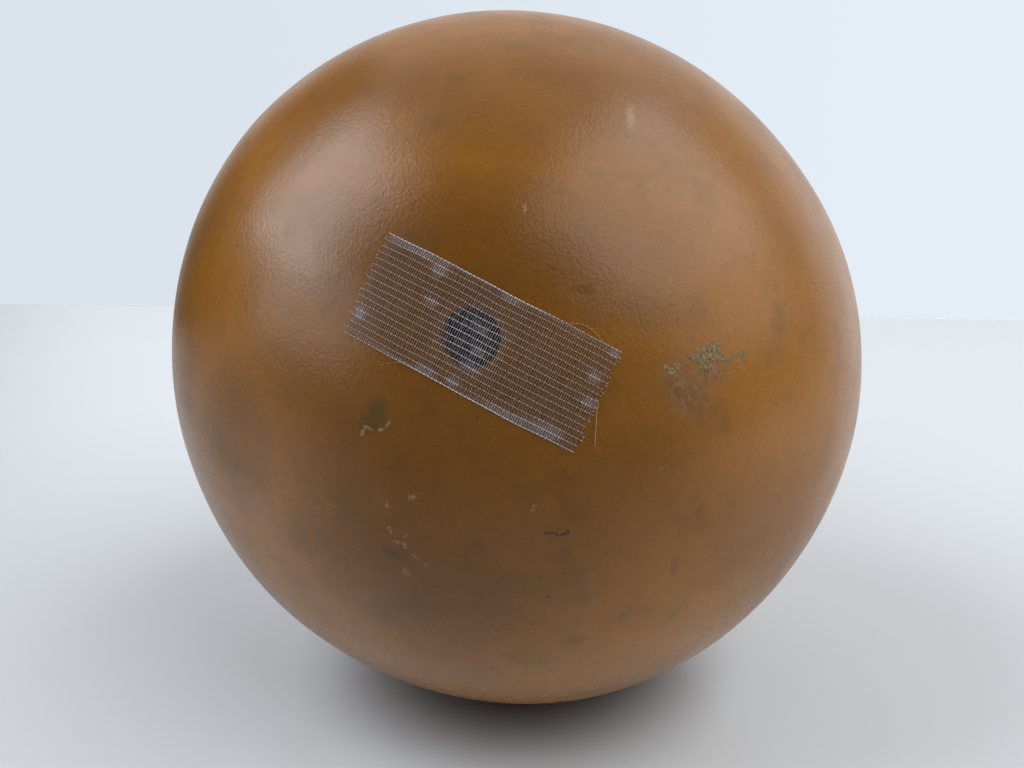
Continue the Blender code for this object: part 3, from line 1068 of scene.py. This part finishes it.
def stalk(material):
    """The dried stalk: five rounded ridges, cracked fibres along it, and a torn, hollowed tip."""
    angles = 2 * math.pi * np.arange(STALK_SIDES) / STALK_SIDES
    rings = []
    for step in range(STALK_RINGS + TIP_RINGS + 1):
        t = min(step / STALK_RINGS, 1)
        inward = max(step - STALK_RINGS, 0) / TIP_RINGS
        foot = STALK_FOOT_RADIUS - STALK_WAIST_RADIUS
        tip = STALK_TIP_RADIUS - STALK_WAIST_RADIUS
        radius = STALK_WAIST_RADIUS + foot * (1 - t) ** 4 + tip * smooth(0.55, 1, t)
        spokes = np.column_stack((np.cos(angles), np.sin(angles), np.zeros(STALK_SIDES)))
        along_fibres = spokes * 3.2
        along_fibres[:, 2] = t * 2.2
        fibres = 0.00022 * noise_at(along_fibres, 0.35, 41) + 0.00012 * noise_at(along_fibres, 0.12, 42)
        ridge = 1 + STALK_RIDGE_SHARE * smooth(-0.2, 0.4, t) * np.cos(STALK_RIDGES * angles)
        reach = radius * ridge + fibres * smooth(0, 0.15, t)
        tear = smooth(0.9, 1, t) * 0.0007 * noise_at(along_fibres, 0.25, 43)
        hollow = 0.0026 * math.sin(inward * math.pi / 2)
        hollow = hollow + 0.0004 * inward * noise_at(along_fibres, 0.2, 44)
        spoke = spokes * (reach * (1 - 0.97 * inward))[:, None]
        spoke[:, 2] += np.minimum(tear, 0.0001) - hollow
        bend = Matrix.Rotation(STALK_TIP_TURN * t, 3, "Y")
        height = COLLAR_HEIGHT + STALK_GAP + STALK_LENGTH * t
        middle = np.array((STALK_BEND * t**2 + NECK_LEAN, 0, height))
        rings.append(spoke @ np.array(bend).T + middle)
    points = laid(np.vstack(rings)) + MIDDLE
    faces = [tuple(face[::-1]) for face in grid_faces(len(rings), STALK_SIDES).tolist()]
    last = len(points) - STALK_SIDES
    faces.append(tuple(range(STALK_SIDES)))
    faces.append(tuple(range(len(points) - 1, last - 1, -1)))
    made = add_mesh("stalk", points, faces, [material])
    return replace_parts(made, "stem")


# Stage and light
FLOOR_HALF_WIDTH = 4.0
FLOOR_NEAR = -4.0
FLOOR_FAR = 0.65
FLOOR_TONE = (0.56, 0.585, 0.61)
# Painted contact shadow: the floor's colour right under the gourd
PAINTED_CONTACT_SHADOW = (0.10, 0.080, 0.070)
# Painted shade on the floor on the viewer's side
PAINTED_VIEWER_SHADE = (0.20, 0.205, 0.21)
LIGHT_DISTANCE = 3.0
DAYLIGHT = (0.97, 1.00, 1.05)
WHITE = (1, 1, 1)
# Each light: name, azimuth and elevation in degrees, width and height in metres, radiance, tint
LIGHTS = (
    ("window_left", -80, 43, 1.95, 2.10, 5.8, DAYLIGHT),
    ("window_left_low", -62, 18, 2.20, 1.20, 3.1, WHITE),
    ("window_right", 72, 50, 3.50, 2.35, 3.6, WHITE),
    ("window_right_low", 76, 18, 2.60, 1.15, 1.8, WHITE),
    ("overhead", 175, 70, 3.50, 3.20, 0.66, WHITE),
)
# The surround: where its pale side is, and the tones that fall on the gourd
TOWARD_BACK = (0.31, 0.95, 0.0)
ROOM = (0.03, 0.03, 0.03)
ROOM_HORIZON = (0.50, 0.54, 0.58)
BACK_LIGHT = (1.12, 1.20, 1.26)
BACK_HORIZON = (0.80, 0.86, 0.92)
# What the camera itself sees behind the gourd
SEEN_LEFT = (0.705, 0.772, 0.835)
SEEN_RIGHT = (0.790, 0.862, 0.940)


def floor_material():
    """Pale and polished, with a painted contact shadow, warm and dark, right under the gourd, and painted
    shade making it darker again on the viewer's side.
    """
    made, tree, shader = new_material("pale_floor")
    place = object_position(tree)
    rest_spot = (MIDDLE[0], MIDDLE[1], 0)
    from_spot = add_node(tree, "ShaderNodeVectorMath", {"operation": "DISTANCE"}, n0=place, n1=rest_spot)
    # Painted contact shadow: dark within a few centimetres of where the gourd rests, full floor tone
    # beyond
    clear_of_painted_shadow = map_range(tree, from_spot.outputs["Value"], 0.030, 0.090)
    color = mix_color(tree, clear_of_painted_shadow, PAINTED_CONTACT_SHADOW, FLOOR_TONE)
    # Painted shade: the floor is darker towards the viewer's side
    from_viewer = map_range(tree, axes(tree, place)["Y"], -0.60, -0.21)
    color = mix_color(tree, from_viewer, PAINTED_VIEWER_SHADE, color)
    tree.links.new(color, shader.inputs["Base Color"])
    shader.inputs["Roughness"].default_value = 0.09
    return made


def stage_floor(material):
    corners = ((-1, FLOOR_NEAR), (1, FLOOR_NEAR), (1, FLOOR_FAR), (-1, FLOOR_FAR))
    mesh = bpy.data.meshes.new("floor")
    mesh.from_pydata([(side * FLOOR_HALF_WIDTH, y, 0) for side, y in corners], [], [(0, 1, 2, 3)])
    mesh.materials.append(material)
    sheet = bpy.data.objects.new("floor", mesh)
    bpy.context.scene.collection.objects.link(sheet)


def seen_from(azimuth, elevation):
    """The direction from the lower bulb, with azimuth 0 at the blossom end and growing to the right."""
    level = math.cos(elevation)
    return Vector((math.sin(azimuth) * level, -math.cos(azimuth) * level, math.sin(elevation)))


def soft_box(name, azimuth, elevation, width, height, radiance, tint):
    """An area light that faces the lower bulb."""
    away = seen_from(math.radians(azimuth), math.radians(elevation))
    data = bpy.data.lights.new(name, "AREA")
    data.shape = "RECTANGLE"
    data.size = width
    data.size_y = height
    data.energy = radiance * math.pi * width * height
    data.color = tint
    light = bpy.data.objects.new(name, data)
    light.location = Vector(MIDDLE) + away * LIGHT_DISTANCE
    light.rotation_euler = away.to_track_quat("Z", "Y").to_euler()
    light.visible_camera = False
    bpy.context.scene.collection.objects.link(light)


def surround():
    """Pale behind the gourd, most of all low down, and dark on the viewer's side, where the room is."""
    world = bpy.data.worlds.new("surround")
    bpy.context.scene.world = world
    world.use_nodes = True
    tree = world.node_tree
    direction = tree.nodes.new("ShaderNodeTexCoord").outputs["Generated"]
    x, y, z = axes(tree, direction)
    dot = {"operation": "DOT_PRODUCT"}
    toward_back = add_node(tree, "ShaderNodeVectorMath", dot, n0=direction, n1=TOWARD_BACK)
    back = map_range(tree, toward_back.outputs["Value"], 0.40, 0.98)
    low = map_range(tree, z, 0.20, 0.75, 1.0, 0.35)
    light = mix_color(tree, math_node(tree, "MULTIPLY", back, low), ROOM, BACK_LIGHT)
    room_level = map_range(tree, z, 0.02, 0.10, 1.0, 0.0)
    room_side = map_range(tree, y, 0.0, 0.35, 1.0, 0.0)
    light = mix_color(tree, math_node(tree, "MULTIPLY", room_level, room_side), light, ROOM_HORIZON)
    back_level = map_range(tree, z, 0.25, 0.55, 1.0, 0.0)
    back_side = map_range(tree, y, 0.68, 0.90)
    light = mix_color(tree, math_node(tree, "MULTIPLY", back_level, back_side), light, BACK_HORIZON)
    seen = mix_color(tree, map_range(tree, x, -0.5, 0.5), SEEN_LEFT, SEEN_RIGHT)
    is_camera = tree.nodes.new("ShaderNodeLightPath").outputs["Is Camera Ray"]
    tree.links.new(mix_color(tree, is_camera, light, seen), tree.nodes["Background"].inputs["Color"])


def camera():
    data = bpy.data.cameras.new("camera")
    data.sensor_width = SENSOR_WIDTH
    data.lens = SENSOR_WIDTH * FOCAL_PIXELS / IMAGE_WIDTH
    data.clip_start = 0.01
    made = bpy.data.objects.new("camera", data)
    made.location = Vector(MIDDLE) + seen_from(CAMERA_AZIMUTH, CAMERA_ELEVATION) * CAMERA_DISTANCE
    to_side = math.atan((BULB_IN_IMAGE[0] - IMAGE_WIDTH / 2) / FOCAL_PIXELS)
    to_down = math.atan((BULB_IN_IMAGE[1] - IMAGE_HEIGHT / 2) / FOCAL_PIXELS)
    pitch = math.pi / 2 - CAMERA_ELEVATION + to_down
    made.rotation_euler = (pitch, 0, CAMERA_AZIMUTH + to_side)
    bpy.context.scene.collection.objects.link(made)
    bpy.context.scene.camera = made


def main():
    for old in [thing for thing in bpy.data.objects if thing.name in ("Cube", "Light", "Camera")]:
        bpy.data.objects.remove(old)
    bpy.context.scene.view_settings.view_transform = "Standard"
    camera()
    gourd_skin(rind_material())
    rind_growths()
    tape_net(yarn_material())
    tape_film(film_material())
    pulp_wad(pulp_material())
    stalk(stalk_material())
    stage_floor(floor_material())
    surround()
    for light in LIGHTS:
        soft_box(*light)


main()
